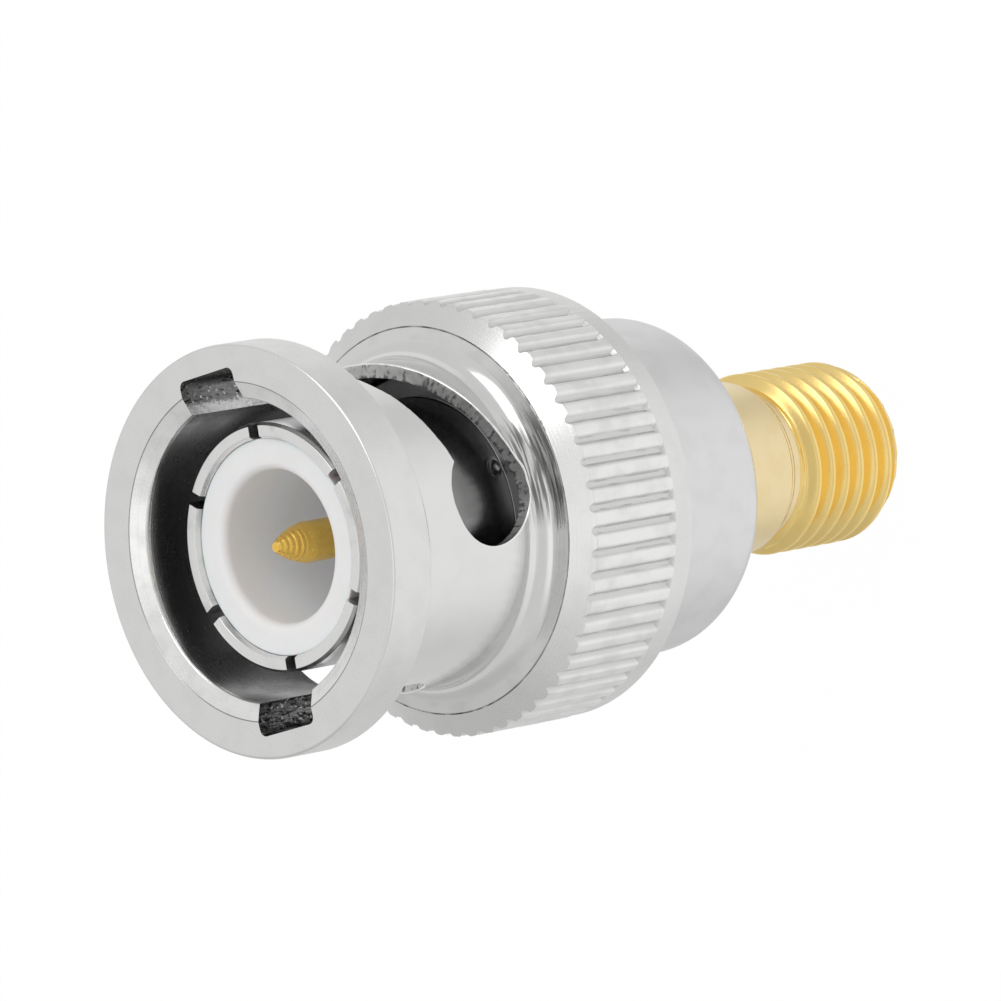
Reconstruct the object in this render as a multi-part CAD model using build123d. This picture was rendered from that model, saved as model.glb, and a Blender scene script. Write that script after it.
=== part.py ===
"""Coaxial adapter: a bayonet plug with a sprung coupling sleeve, joined to a small threaded jack.

Millimetres. +Z is the plug's axis and points out of its mouth. The origin is the centre of the
jack's end face, so the adapter stands on that face. Places along the axis are given as depths
behind the plug's front rim, which is how the photograph shows them.
"""

from build123d import *

import os
from math import cos, pi, radians, sin

# Whole adapter
LENGTH = 28.2

# Coupling sleeve, outside
RIM_R = 6.7
RIM_REAR = 1.66
NECK_R = 5.4
COVE_FRONT = 7.4
COVE_R = 0.75
COVE_TURN = 68.0
CONE_REAR_R = 6.4
CONE_REAR = 8.3
KNURL_R = 7.18
KNURL_FRONT = 8.72
KNURL_REAR = 12.45
KNURL_DEPTH = 0.15
KNURL_FLAT = 0.45
KNURL_STOCK = 0.05
KNURL_COUNT = 60
RING_R = 7.15
SLEEVE_REAR = 13.45
EDGE = 0.1
REAR_CHAMFER = 0.25

# Coupling sleeve, inside
MOUTH_R = 5.45
MOUTH_DEPTH = 0.25
SLEEVE_BORE_R = 4.925
SHOULDER = 9.0
COUNTERBORE_R = 6.0
RING_GROOVE_R = 6.42

# Keyways and cam slots for the mating jack's two studs
KEYWAY_WIDTH = 2.55
KEYWAY_R = 5.85
KEYWAY_CORNER = 0.25
SLOT_WIDTH = 2.6
SLOT_START_DEPTH = 4.53
SLOT_RISE_PER_DEG = 0.0216
SLOT_SWEEP = 85.0
POCKET_R = 1.66
POCKET_DEPTH = 6.0
POCKET_TURN = 89.4
CUT_INNER_R = 4.2
CUT_OUTER_R = 6.6

# Plug body: sprung fingers, guide land, flange and hub
TIP = 1.15
FERRULE_R = 4.05
FERRULE_BORE_R = 3.52
TIP_R = 3.86
TIP_LENGTH = 0.25
FINGERS = 6
FINGER_SLOT = 0.45
FINGER_LENGTH = 4.6
FINGER_TURN = 84.0
LAND = 8.2
RUNNING_CLEARANCE = 0.08
FLANGE_CLEARANCE = 0.15
FLANGE_REAR = 9.9
HUB_R = 4.4
HUB_REAR = 14.5
SEAT = 8.6
LINE_BORE_R = 1.6
STAKE_DEPTH = 7.83
STAKE_TURN = 14.0
STAKE_R = 0.28

# Spring pack behind the flange
WASHER_BORE_R = 4.6
THRUST_FRONT = 11.2
THRUST_THICKNESS = 0.5
WAVE_THICKNESS = 0.22
WAVES = 3
WAVE_GAP = 0.02
SNAP_THICKNESS = 0.5
SNAP_PLAY = 0.05
SNAP_BORE_R = 5.45
SNAP_OPENING = 2.2

# Rear body
REAR_FRONT = 12.7
REAR_R = 5.65
REAR_END = 18.65
REAR_ROUND = 1.15

# Threaded jack
JACK_FLANGE_R = 3.9
JACK_FLANGE_REAR = 16.6
JACK_NECK_R = 2.95
JACK_NECK_REAR = 22.9
UNDERCUT_R = 2.72
UNDERCUT_REAR = 23.6
THREAD_R = 3.11
THREAD_PITCH = 0.7056
THREAD_DEPTH = 0.43
THREAD_CREST = 0.09
THREAD_ROOT = 24.2
THREAD_GROOVES = 5
END_TAPER = 0.5
END_TAPER_LENGTH = 0.8
NECK_BEVEL = 0.25
JACK_BORE_R = 2.3
JACK_FACE = 26.3

# Insulators and centre contact
INSULATOR_FRONT = 1.35
CUP_R = 2.5
CUP_LEAD = 0.12
CUP_FLOOR = 6.6
JACK_INSULATOR_R = 2.05
PIN_TIP = 1.3
PIN_R = 0.675
PIN_FLAT_R = 0.13
PIN_FULL = 2.55
PIN_SEAT_R = 0.85
COLLAR_R = 1.1
COLLAR_REAR = 9.3
SOCKET_R = 0.635
SOCKET_BORE_R = 0.465
SOCKET_DEPTH = 3.0
SOCKET_SLOT = 0.18
SOCKET_SLOT_LENGTH = 1.9
SOCKET_RECESS = 0.05


def at(point):
    """Place a (radius, depth) pair in the XZ plane."""
    radius, depth = point
    return Vector(radius, 0, LENGTH - depth)


def turned(start, *steps):
    """Turn a closed outline about Z. A step is an end point, or (middle, end) for an arc."""
    edges = []
    here = start
    last = steps[-1][1] if isinstance(steps[-1][0], tuple) else steps[-1]
    closing = () if last == start else (start,)
    for step in (*steps, *closing):
        if isinstance(step[0], tuple):
            middle, end = step
            edges.append(Edge.make_three_point_arc(at(here), at(middle), at(end)))
        else:
            end = step
            edges.append(Edge.make_line(at(here), at(end)))
        here = end
    return revolve(Face(Wire(edges)), Axis.Z, 360)


def tube(inner, outer, front, rear):
    """A plain ring between two depths."""
    return turned((inner, front), (outer, front), (outer, rear), (inner, rear))


def radial_cutter(radius, depth, turn):
    """A round cutter pointing at the axis, at a depth and an angle about Z."""
    start = Plane(
        origin=(CUT_INNER_R * cos(radians(turn)), CUT_INNER_R * sin(radians(turn)), LENGTH - depth),
        z_dir=(cos(radians(turn)), sin(radians(turn)), 0),
    )
    return start * Cylinder(radius, CUT_OUTER_R - CUT_INNER_R, align=(Align.CENTER, Align.CENTER, Align.MIN))


def sleeve_blank():
    """The sleeve as it leaves the lathe, with stock left over the knurl's crests."""
    turn = radians(COVE_TURN)
    cove_end = (NECK_R + COVE_R * (1 - cos(turn)), COVE_FRONT + COVE_R * sin(turn))
    cove_mid = (NECK_R + COVE_R * (1 - cos(turn / 2)), COVE_FRONT + COVE_R * sin(turn / 2))
    stock_r = KNURL_R + KNURL_STOCK
    stock_front = KNURL_FRONT + KNURL_STOCK * (KNURL_FRONT - CONE_REAR) / (KNURL_R - CONE_REAR_R)
    snap_front = THRUST_FRONT + THRUST_THICKNESS
    snap_rear = snap_front + SNAP_THICKNESS + 2 * SNAP_PLAY
    return turned(
        (SLEEVE_BORE_R, MOUTH_DEPTH),
        (MOUTH_R, 0),
        (RIM_R - EDGE, 0),
        (RIM_R, EDGE),
        (RIM_R, RIM_REAR),
        (NECK_R, RIM_REAR),
        (NECK_R, COVE_FRONT),
        (cove_mid, cove_end),
        (CONE_REAR_R, CONE_REAR),
        (stock_r, stock_front),
        (stock_r, KNURL_REAR),
        (RING_R, KNURL_REAR),
        (RING_R, SLEEVE_REAR - REAR_CHAMFER),
        (RING_R - REAR_CHAMFER, SLEEVE_REAR),
        (COUNTERBORE_R, SLEEVE_REAR),
        (COUNTERBORE_R, snap_rear),
        (RING_GROOVE_R, snap_rear),
        (RING_GROOVE_R, snap_front),
        (COUNTERBORE_R, snap_front),
        (COUNTERBORE_R, SHOULDER),
        (SLEEVE_BORE_R, SHOULDER),
    )


def knurl_cutter():
    """What the straight knurling takes away: V-grooves that leave a ring of flat-topped teeth."""
    half_flat = KNURL_FLAT / 2 / KNURL_R
    half_pitch = pi / KNURL_COUNT
    points = []
    for k in range(KNURL_COUNT):
        tooth = 2 * half_pitch * k
        for radius, angle in (
            (KNURL_R, tooth - half_flat),
            (KNURL_R, tooth + half_flat),
            (KNURL_R - KNURL_DEPTH, tooth + half_pitch),
        ):
            points.append(Vector(radius * cos(angle), radius * sin(angle), 0))
    teeth = Face(Wire.make_polygon(points, close=True))
    outside = Face(Wire.make_circle(KNURL_R + 1)) - teeth
    height = KNURL_REAR - CONE_REAR
    return Pos(0, 0, LENGTH - KNURL_REAR) * extrude(outside, height, dir=(0, 0, 1))


def keyway_cutter(turn):
    """An axial keyway from the front rim back to the start of its cam slot."""
    depth = SLOT_START_DEPTH
    block = Box(KEYWAY_R - CUT_INNER_R, KEYWAY_WIDTH, depth + 1, align=(Align.MIN, Align.CENTER, Align.MIN))
    block = Pos(CUT_INNER_R, 0, LENGTH - depth) * block
    corners = block.edges().filter_by(Axis.Z).group_by(Axis.X)[-1]
    return Rot(0, 0, turn) * fillet(corners, KEYWAY_CORNER)


def cam_slot_cutter(turn):
    """A helical slot that starts at a keyway and ends in a round detent pocket."""
    middle_r = (CUT_INNER_R + CUT_OUTER_R) / 2
    rise = SLOT_RISE_PER_DEG * SLOT_SWEEP
    path = Edge.make_helix(
        pitch=SLOT_RISE_PER_DEG * 360,
        height=rise,
        radius=middle_r,
        center=(0, 0, 0),
        normal=(0, 0, 1),
    )
    section = Plane(origin=path @ 0, x_dir=(1, 0, 0), z_dir=(0, 1, 0)) * Rectangle(
        CUT_OUTER_R - CUT_INNER_R, SLOT_WIDTH * 1.03
    )
    slot = sweep(section, path=path, is_frenet=True)
    slot = slot.mirror(Plane.XY)
    slot = slot.mirror(Plane.XZ)
    slot = Pos(0, 0, LENGTH - SLOT_START_DEPTH) * slot
    cutter = slot + radial_cutter(SLOT_WIDTH / 2, SLOT_START_DEPTH, 0)
    end_depth = SLOT_START_DEPTH + rise
    cutter += radial_cutter(SLOT_WIDTH / 2, end_depth, -SLOT_SWEEP)
    cutter += radial_cutter(POCKET_R, POCKET_DEPTH, -POCKET_TURN)
    return Rot(0, 0, turn) * cutter


def coupling_sleeve():
    """Knurled sleeve with two keyways and two cam slots."""
    sleeve = sleeve_blank() - knurl_cutter()
    for turn in (90, 270):
        sleeve -= keyway_cutter(turn)
        sleeve -= cam_slot_cutter(turn)
    return sleeve


def retaining_ring():
    """Split ring in the sleeve's inside groove."""
    front = THRUST_FRONT + THRUST_THICKNESS + SNAP_PLAY
    ring = tube(SNAP_BORE_R, RING_GROOVE_R, front, front + SNAP_THICKNESS)
    gap = Pos(-SNAP_BORE_R - 0.5, 0, LENGTH - front) * Box(2, SNAP_OPENING, 2)
    return ring - gap


def thrust_washer():
    """Flat washer between the springs and the retaining ring."""
    return tube(WASHER_BORE_R, COUNTERBORE_R - FLANGE_CLEARANCE, THRUST_FRONT, THRUST_FRONT + THRUST_THICKNESS)


def wavy_edge(radius, middle, swing):
    """A closed wavy line about Z."""
    points = []
    for k in range(12 * WAVES):
        angle = 2 * pi * k / (12 * WAVES)
        points.append(Vector(radius * cos(angle), radius * sin(angle), middle + swing * cos(WAVES * angle)))
    return Edge.make_spline(points, periodic=True)


def wave_washer(front, swing):
    """A wavy spring washer whose highest crests lie at the front depth."""
    inner, outer = WASHER_BORE_R, COUNTERBORE_R - FLANGE_CLEARANCE
    top = LENGTH - front - abs(swing)
    bottom = top - WAVE_THICKNESS
    rims = {}
    for name, radius, level in (
        ("inner top", inner, top),
        ("outer top", outer, top),
        ("inner bottom", inner, bottom),
        ("outer bottom", outer, bottom),
    ):
        rims[name] = wavy_edge(radius, level, swing)
    faces = [
        Face.make_surface_from_curves(rims["inner top"], rims["outer top"]),
        Face.make_surface_from_curves(rims["outer top"], rims["outer bottom"]),
        Face.make_surface_from_curves(rims["outer bottom"], rims["inner bottom"]),
        Face.make_surface_from_curves(rims["inner bottom"], rims["inner top"]),
    ]
    return Solid(Shell(faces))


def wave_swing():
    """Half the wave of each spring washer: two of them fill the space from flange to washer."""
    space = THRUST_FRONT - FLANGE_REAR - 3 * WAVE_GAP
    return (space / 2 - WAVE_THICKNESS) / 2


def wave_washer_front():
    return wave_washer(FLANGE_REAR + WAVE_GAP, wave_swing())


def wave_washer_rear():
    height = WAVE_THICKNESS + 2 * wave_swing()
    return wave_washer(FLANGE_REAR + 2 * WAVE_GAP + height, -wave_swing())


def plug_body():
    """Outer contact: six sprung fingers, guide land, flange and hub in one turned piece."""
    body = turned(
        (FERRULE_BORE_R + 0.08, TIP),
        (TIP_R, TIP),
        (FERRULE_R, TIP + TIP_LENGTH),
        (FERRULE_R, LAND),
        (SLEEVE_BORE_R - RUNNING_CLEARANCE - EDGE, LAND),
        (SLEEVE_BORE_R - RUNNING_CLEARANCE, LAND + EDGE),
        (SLEEVE_BORE_R - RUNNING_CLEARANCE, SHOULDER),
        (COUNTERBORE_R - FLANGE_CLEARANCE, SHOULDER),
        (COUNTERBORE_R - FLANGE_CLEARANCE, FLANGE_REAR),
        (HUB_R, FLANGE_REAR),
        (HUB_R, HUB_REAR),
        (LINE_BORE_R, HUB_REAR),
        (LINE_BORE_R, SEAT),
        (FERRULE_BORE_R, SEAT),
        (FERRULE_BORE_R, TIP + 0.15),
    )
    for k in range(FINGERS):
        slot = Box(2, FINGER_SLOT, FINGER_LENGTH + 1, align=(Align.MIN, Align.CENTER, Align.MIN))
        slot = Pos(FERRULE_BORE_R - 0.6, 0, LENGTH - TIP - FINGER_LENGTH) * slot
        body -= Rot(0, 0, FINGER_TURN + 360 / FINGERS * k) * slot
    stake = Pos(FERRULE_R + 0.12, 0, LENGTH - STAKE_DEPTH) * Sphere(STAKE_R)
    return body - Rot(0, 0, STAKE_TURN) * stake


def rear_body():
    """Smooth shell that joins the plug to the threaded jack."""
    corner = REAR_ROUND * (1 - cos(radians(45)))
    return turned(
        (HUB_R, REAR_FRONT),
        (REAR_R - EDGE, REAR_FRONT),
        (REAR_R, REAR_FRONT + EDGE),
        (REAR_R, REAR_END - REAR_ROUND),
        ((REAR_R - corner, REAR_END - corner), (REAR_R - REAR_ROUND, REAR_END)),
        (JACK_NECK_R, REAR_END),
        (JACK_NECK_R, JACK_FLANGE_REAR),
        (JACK_FLANGE_R, JACK_FLANGE_REAR),
        (JACK_FLANGE_R, HUB_REAR),
        (HUB_R, HUB_REAR),
    )


def thread_relief():
    """The thread as plain V-grooves side by side at its pitch."""
    half = (THREAD_PITCH - THREAD_CREST) / 2
    points = []
    for k in range(THREAD_GROOVES):
        root = THREAD_ROOT + THREAD_PITCH * k
        points += [(THREAD_R, root - half), (THREAD_R - THREAD_DEPTH, root), (THREAD_R, root + half)]
    return points


def jack_body():
    """Threaded outer contact of the jack."""
    return turned(
        (JACK_INSULATOR_R, HUB_REAR),
        (JACK_FLANGE_R, HUB_REAR),
        (JACK_FLANGE_R, JACK_FLANGE_REAR),
        (JACK_NECK_R, JACK_FLANGE_REAR),
        (JACK_NECK_R, JACK_NECK_REAR - NECK_BEVEL),
        (JACK_NECK_R - NECK_BEVEL, JACK_NECK_REAR),
        (UNDERCUT_R, JACK_NECK_REAR),
        (UNDERCUT_R, UNDERCUT_REAR - 0.3),
        (THREAD_R, UNDERCUT_REAR),
        *thread_relief(),
        (THREAD_R, LENGTH - END_TAPER_LENGTH),
        (THREAD_R - END_TAPER, LENGTH),
        (JACK_BORE_R, LENGTH),
        (JACK_BORE_R, JACK_FACE),
        (JACK_INSULATOR_R, JACK_FACE),
    )


def plug_insulator():
    """White cup round the pin."""
    return turned(
        (CUP_R + CUP_LEAD, INSULATOR_FRONT),
        (FERRULE_BORE_R, INSULATOR_FRONT),
        (FERRULE_BORE_R, SEAT),
        (PIN_SEAT_R, SEAT),
        (PIN_SEAT_R, CUP_FLOOR),
        (CUP_R, CUP_FLOOR),
        (CUP_R, INSULATOR_FRONT + CUP_LEAD),
    )


def jack_insulator():
    """White bead round the socket."""
    return tube(SOCKET_R, JACK_INSULATOR_R, HUB_REAR, JACK_FACE)


def centre_contact():
    """Gold contact: pointed pin at the plug, slotted socket at the jack."""
    nose_mid = (0.78 * PIN_R, PIN_TIP + 0.42 * (PIN_FULL - PIN_TIP))
    end = JACK_FACE - SOCKET_RECESS
    contact = turned(
        (0, PIN_TIP),
        (PIN_FLAT_R, PIN_TIP),
        (nose_mid, (PIN_R, PIN_FULL)),
        (PIN_R, CUP_FLOOR),
        (PIN_SEAT_R, CUP_FLOOR),
        (PIN_SEAT_R, SEAT),
        (COLLAR_R, SEAT),
        (COLLAR_R, COLLAR_REAR),
        (SOCKET_R, COLLAR_REAR),
        (SOCKET_R, end),
        (SOCKET_BORE_R, end),
        (SOCKET_BORE_R, end - SOCKET_DEPTH),
        (0, end - SOCKET_DEPTH - SOCKET_BORE_R * 0.6),
    )
    for turn in (0, 90):
        slot = Box(4, SOCKET_SLOT, SOCKET_SLOT_LENGTH, align=(Align.CENTER, Align.CENTER, Align.MIN))
        contact -= Rot(0, 0, turn) * (Pos(0, 0, LENGTH - end - 0.01) * slot)
    return contact


PARTS = {
    "coupling_sleeve": coupling_sleeve,
    "retaining_ring": retaining_ring,
    "thrust_washer": thrust_washer,
    "wave_washer_front": wave_washer_front,
    "wave_washer_rear": wave_washer_rear,
    "plug_body": plug_body,
    "plug_insulator": plug_insulator,
    "centre_contact": centre_contact,
    "rear_body": rear_body,
    "jack_body": jack_body,
    "jack_insulator": jack_insulator,
}


def main():
    os.makedirs("parts", exist_ok=True)
    for name, make in PARTS.items():
        export_step(make(), f"parts/{name}.step")


if __name__ == "__main__":
    main()
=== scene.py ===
"""Looks of the coaxial adapter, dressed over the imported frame.

Sizes are millimetres and places along the axis are depths behind the plug's front rim. Angles are
radians. A mesh becomes metres when it is written.
"""

import logging
from collections.abc import Callable, Iterable, Iterator, Sequence
from dataclasses import dataclass, replace
from enum import Enum
from functools import cache
from math import pi, radians

import bmesh
import bpy
import numpy as np
from mathutils import Matrix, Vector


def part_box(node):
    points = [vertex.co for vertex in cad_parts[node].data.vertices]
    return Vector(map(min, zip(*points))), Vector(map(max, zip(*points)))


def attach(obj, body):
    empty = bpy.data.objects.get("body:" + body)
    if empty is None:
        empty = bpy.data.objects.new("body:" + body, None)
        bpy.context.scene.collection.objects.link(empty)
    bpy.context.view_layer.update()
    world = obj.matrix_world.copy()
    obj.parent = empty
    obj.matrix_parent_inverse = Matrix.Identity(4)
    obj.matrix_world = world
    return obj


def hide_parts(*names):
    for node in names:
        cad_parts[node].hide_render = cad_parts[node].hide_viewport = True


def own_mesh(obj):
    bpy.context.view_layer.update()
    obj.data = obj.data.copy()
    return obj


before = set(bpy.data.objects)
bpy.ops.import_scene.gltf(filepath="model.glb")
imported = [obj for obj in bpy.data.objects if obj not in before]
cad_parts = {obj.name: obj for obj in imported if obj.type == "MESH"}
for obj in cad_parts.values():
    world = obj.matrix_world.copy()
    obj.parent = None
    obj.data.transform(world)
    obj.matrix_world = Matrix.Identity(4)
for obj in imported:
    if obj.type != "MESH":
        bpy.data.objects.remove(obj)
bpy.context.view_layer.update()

log = logging.getLogger("adapter")
Array = np.ndarray
Colour = tuple[float, float, float]
MM = 0.001
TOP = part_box("coupling_sleeve")[1].z / MM
TURN = 2 * pi
CREST_RADIUS = 7.18  # the knurl's crests
WALL_RADIUS = 5.2  # the middle of the cut's walls


# ---------------------------------------------------------------- surfaces


def unit(vector: Array) -> Array:
    """Scale a vector to length one."""
    return vector / np.linalg.norm(vector)


def ease(share: Array) -> Array:
    """Turn a share from 0 to 1 into one that starts and ends gently, as 3 s^2 - 2 s^3."""
    share = np.clip(share, 0, 1)
    return share * share * (3 - 2 * share)


def rounded(*corners: Sequence[float], steps: int = 4) -> Array:
    """Lay out a turned outline whose corners are filleted.

    An arc's points are the two touching directions mixed by sin((1 - k) turn) and sin(k turn). One
    more point lies on each leg just outside the arc, which keeps the shading of flat lengths flat.

    Args:
        corners: radius, depth and, if wanted, fillet of each corner in order.
        steps: parts of each arc.

    Returns:
        Radius and depth of each point, one row each.
    """
    places = [np.array(corner[:2], float) for corner in corners]
    laid = [places[0][None]]
    for before, corner, here, after in zip(places, corners[1:-1], places[1:-1], places[2:]):
        fillet = corner[2] if len(corner) > 2 else 0.0
        if fillet == 0:
            laid.append(here[None])
            continue
        back, ahead = unit(before - here), unit(after - here)
        half = np.arccos(np.clip(back @ ahead, -1, 1)) / 2
        reach = fillet / np.tan(half)
        centre = here + unit(back + ahead) * fillet / np.sin(half)
        turn = pi - 2 * half
        share = np.linspace(0, 1, steps + 1)[:, None]
        start, end = here + back * reach - centre, here + ahead * reach - centre
        swing = np.sin((1 - share) * turn) * start + np.sin(share * turn) * end
        arc = centre + swing / np.sin(turn)
        laid.append((here + back * (reach + 0.3 * fillet))[None])
        laid.append(arc)
        laid.append((here + ahead * (reach + 0.3 * fillet))[None])
    laid.append(places[-1][None])
    return np.concatenate(laid)


def between(start: Array, end: Array, shares: Sequence[float]) -> Array:
    """Mix two rows of numbers.

    Args:
        start: row at share 0.
        end: row at share 1.
        shares: one share for each row wanted.

    Returns:
        One row for each share: start + share (end - start).
    """
    share = np.asarray(shares, float)[:, None]
    return np.asarray(start) * (1 - share) + np.asarray(end) * share


def half_chord(radius: Array, aside: Array) -> Array:
    """Half the length of a circle's chord at a distance from its middle, or 0 outside it."""
    return np.sqrt(np.clip(radius**2 - aside**2, 0, None))


def ripple(count: int, reach: float, seed: int) -> Array:
    """Make a smooth random line.

    White noise is averaged over a bell a few points wide and scaled to a spread of one.

    Args:
        count: points in the line.
        reach: width of the bell in points.
        seed: start of the random numbers.

    Returns:
        The line's values.
    """
    span = int(4 * reach) + 1
    bell = np.exp(-0.5 * (np.arange(-span, span + 1) / reach) ** 2)
    rough = np.random.default_rng(seed).normal(size=count + 2 * span)
    line = np.convolve(rough, bell, mode="valid")
    return line / np.std(line)


# ---------------------------------------------------------------- finishes


def operation(name: str, swapped: bool = False) -> Callable[["Value", "Value | float"], "Value"]:
    """Make an operator that adds one Math node.

    Args:
        name: the node's operation.
        swapped: whether the Value is the second number.

    Returns:
        The operator.
    """

    def operate(this: "Value", other: "Value | float") -> "Value":
        """Join a Value with a Value or a number."""
        first, second = (other, this) if swapped else (this, other)
        return this.graph.value("Math", {"operation": name}, {0: first, 1: second})

    return operate


@dataclass(frozen=True)
class Value:
    """A number that a node gives, which takes part in sums."""

    graph: "Graph"
    socket: bpy.types.NodeSocket

    __add__ = __radd__ = operation("ADD")
    __sub__ = operation("SUBTRACT")
    __rsub__ = operation("SUBTRACT", swapped=True)
    __mul__ = __rmul__ = operation("MULTIPLY")
    __truediv__ = operation("DIVIDE")
    __pow__ = operation("POWER")
    most = operation("MAXIMUM")

    def step(self, low: float, high: float) -> "Value":
        """Rise smoothly from 0 at low to 1 at high."""
        inputs = {"Value": self, "From Min": low, "From Max": high}
        return self.graph.value("MapRange", {"interpolation_type": "SMOOTHSTEP"}, inputs)


class Graph:
    """A node tree under construction."""

    def __init__(self, owner: bpy.types.Material | bpy.types.World) -> None:
        """Empty the tree of a material or a world and start on it."""
        owner.use_nodes = True
        self.tree = owner.node_tree
        self.tree.nodes.clear()

    def node(
        self, kind: str, settings: dict | None = None, inputs: dict | None = None
    ) -> bpy.types.Node:
        """Add a node.

        Args:
            kind: the node's type without its ShaderNode prefix.
            settings: properties, set first.
            inputs: value, colour, link or Value for each socket, by name or place.

        Returns:
            The node.
        """
        made = self.tree.nodes.new(f"ShaderNode{kind}")
        for name, value in (settings or {}).items():
            setattr(made, name, value)
        for place, value in (inputs or {}).items():
            socket = made.inputs[place]
            if isinstance(value, Value):
                value = value.socket
            if isinstance(value, bpy.types.NodeSocket):
                self.tree.links.new(value, socket)
            elif isinstance(value, tuple) and len(value) == 3 and socket.type == "RGBA":
                socket.default_value = (*value, 1.0)
            else:
                socket.default_value = value
        return made

    def value(
        self, kind: str, settings: dict | None = None, inputs: dict | None = None,
        out: int | str = 0,
    ) -> Value:
        """Add a node and wrap one of its outputs."""
        return Value(self, self.node(kind, settings, inputs).outputs[out])

    def blend(
        self, share: Value, first: Colour | bpy.types.NodeSocket, second: Colour
    ) -> bpy.types.NodeSocket:
        """Mix two colours by a share."""
        return self.node("Mix", {"data_type": "RGBA"}, {0: share, 6: first, 7: second}).outputs[2]

    def point(self, x: Value, y: Value, z: Value) -> bpy.types.NodeSocket:
        """Make a point of three numbers."""
        return self.node("CombineXYZ", None, {0: x, 1: y, 2: z}).outputs[0]

    def noise(
        self, where: Value | bpy.types.NodeSocket, scale: float, detail: float = 2.0
    ) -> Value:
        """Add a noise over points, or along a line where the place is one number."""
        size, place = ("1D", "W") if isinstance(where, Value) else ("3D", "Vector")
        inputs = {place: where, "Scale": scale, "Detail": detail}
        return self.value("TexNoise", {"noise_dimensions": size}, inputs)

    def rays(self, *kinds: str) -> list[Value]:
        """Give one number for each kind of ray, 1 on a ray of that kind and 0 on others."""
        path = self.node("LightPath")
        return [Value(self, path.outputs[f"Is {kind} Ray"]) for kind in kinds]


class Place:
    """The object's own coordinates in millimetres, with the radius from the axis and the depth."""

    def __init__(self, graph: Graph) -> None:
        """Add the nodes that give the coordinates."""
        own = graph.node("TexCoord").outputs["Object"]
        scaled = graph.node("VectorMath", {"operation": "SCALE"}, {"Vector": own, "Scale": 1 / MM})
        self.point = scaled.outputs[0]
        parts = graph.node("SeparateXYZ", None, {0: self.point})
        self.x, self.y, z = (Value(graph, socket) for socket in parts.outputs)
        self.depth = TOP - z
        self.radius = (self.x * self.x + self.y * self.y) ** 0.5
        self.turn = graph.value("Math", {"operation": "ARCTAN2"}, {0: self.y, 1: self.x})


@dataclass(frozen=True)
class Coat:
    """A finish: its nodes start and end in the same way for every kind."""

    name: str
    colour: Colour

    def make(self) -> bpy.types.Material:
        """Build the material from what the kind of finish lays out."""
        made = bpy.data.materials.new(self.name)
        graph = Graph(made)
        inputs, height, reach = self.lay(graph, Place(graph))
        relief = {"Strength": 1.0, "Distance": reach, "Height": height}
        inputs["Normal"] = graph.node("Bump", None, relief).outputs[0]
        shader = graph.node("BsdfPrincipled", None, inputs)
        graph.node("OutputMaterial", None, {"Surface": shader.outputs[0]})
        return made

    def lay(self, graph: Graph, place: Place) -> tuple[dict, Value, float]:
        """Lay out the kind's own nodes.

        Args:
            graph: the material's node tree.
            place: the coordinates in it.

        Returns:
            The shader's inputs, the relief's height and how many metres a height of 1 is.
        """
        raise NotImplementedError


@dataclass(frozen=True)
class Plate(Coat):
    """A plated metal surface that was turned on a lathe."""

    stain: Colour
    roughness: float = 0.28
    mottle: float = 0.06
    rings: float = 0.5
    grain: float = 0.3
    grain_scale: float = 9.0
    stain_share: float = 0.25
    # Painted shade: a darker colour by depth, or by distance below the knurl's crests, and its
    # range.
    painted_shade: Colour | None = None
    painted_shade_from: float = 0.0
    painted_shade_to: float = 1.0
    by_radius: bool = False
    # Painted reflection: colour of the dark streaks beside the pockets.
    painted_reflection: Colour | None = None
    ring_scale: float = 14.0
    fine_scale: float = 55.0
    relief: float = 3e-6

    def lay(self, graph: Graph, place: Place) -> tuple[dict, Value, float]:
        """Lay out turning rings, soft mottling and a thin stain in patches, with painted shade and
        painted dark reflection streaks where asked.
        """
        cloud = graph.noise(place.point, 1.1, 4.0)
        speck = graph.noise(place.point, self.grain_scale, 3.0)
        marks, fine = (
            graph.noise(place.radius, scale, detail) + graph.noise(place.depth, scale, detail)
            for scale, detail in ((self.ring_scale, 2.0), (self.fine_scale, 1.0))
        )
        marks = marks - 1.0
        patch = cloud.step(0.42, 0.68) * self.stain_share
        tint = graph.blend(patch + marks * 0.12, self.colour, self.stain)
        # Painted shade: darker towards the knurl's groove bottoms, or deeper inside the mouth.
        if self.painted_shade is not None:
            along = CREST_RADIUS - place.radius if self.by_radius else place.depth + cloud - 0.5
            tint = graph.blend(along.step(self.painted_shade_from, self.painted_shade_to), tint, self.painted_shade)
        # Painted reflection: dark streaks beside each pocket.
        if self.painted_reflection is not None:
            tint = graph.blend(self._painted_reflection_streaks(graph, place), tint, self.painted_reflection)
        rough = self.roughness + (cloud - 0.5) * self.mottle * 2 + (speck - 0.5) * self.mottle
        rough = rough + marks * self.mottle
        height = marks * self.rings + fine * self.rings * 0.25 + (speck - 0.5) * self.grain
        return {"Base Color": tint, "Metallic": 1.0, "Roughness": rough}, height, self.relief

    def _painted_reflection_streaks(self, graph: Graph, place: Place) -> Value:
        """Paint dark reflection streaks on the shoulder beside each pocket, drawn out along the
        turning.
        """
        aside = (place.y - place.x * 0.12) / place.radius
        beside = (aside * aside).step(0.14, 0.02) * place.depth.step(7.25, 7.7)
        where = graph.point(place.turn * 3.0, place.radius * 8.0, place.depth * 8.0)
        return beside * graph.noise(where, 1.3, 3.0).step(0.36, 0.58) * 0.85


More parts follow.
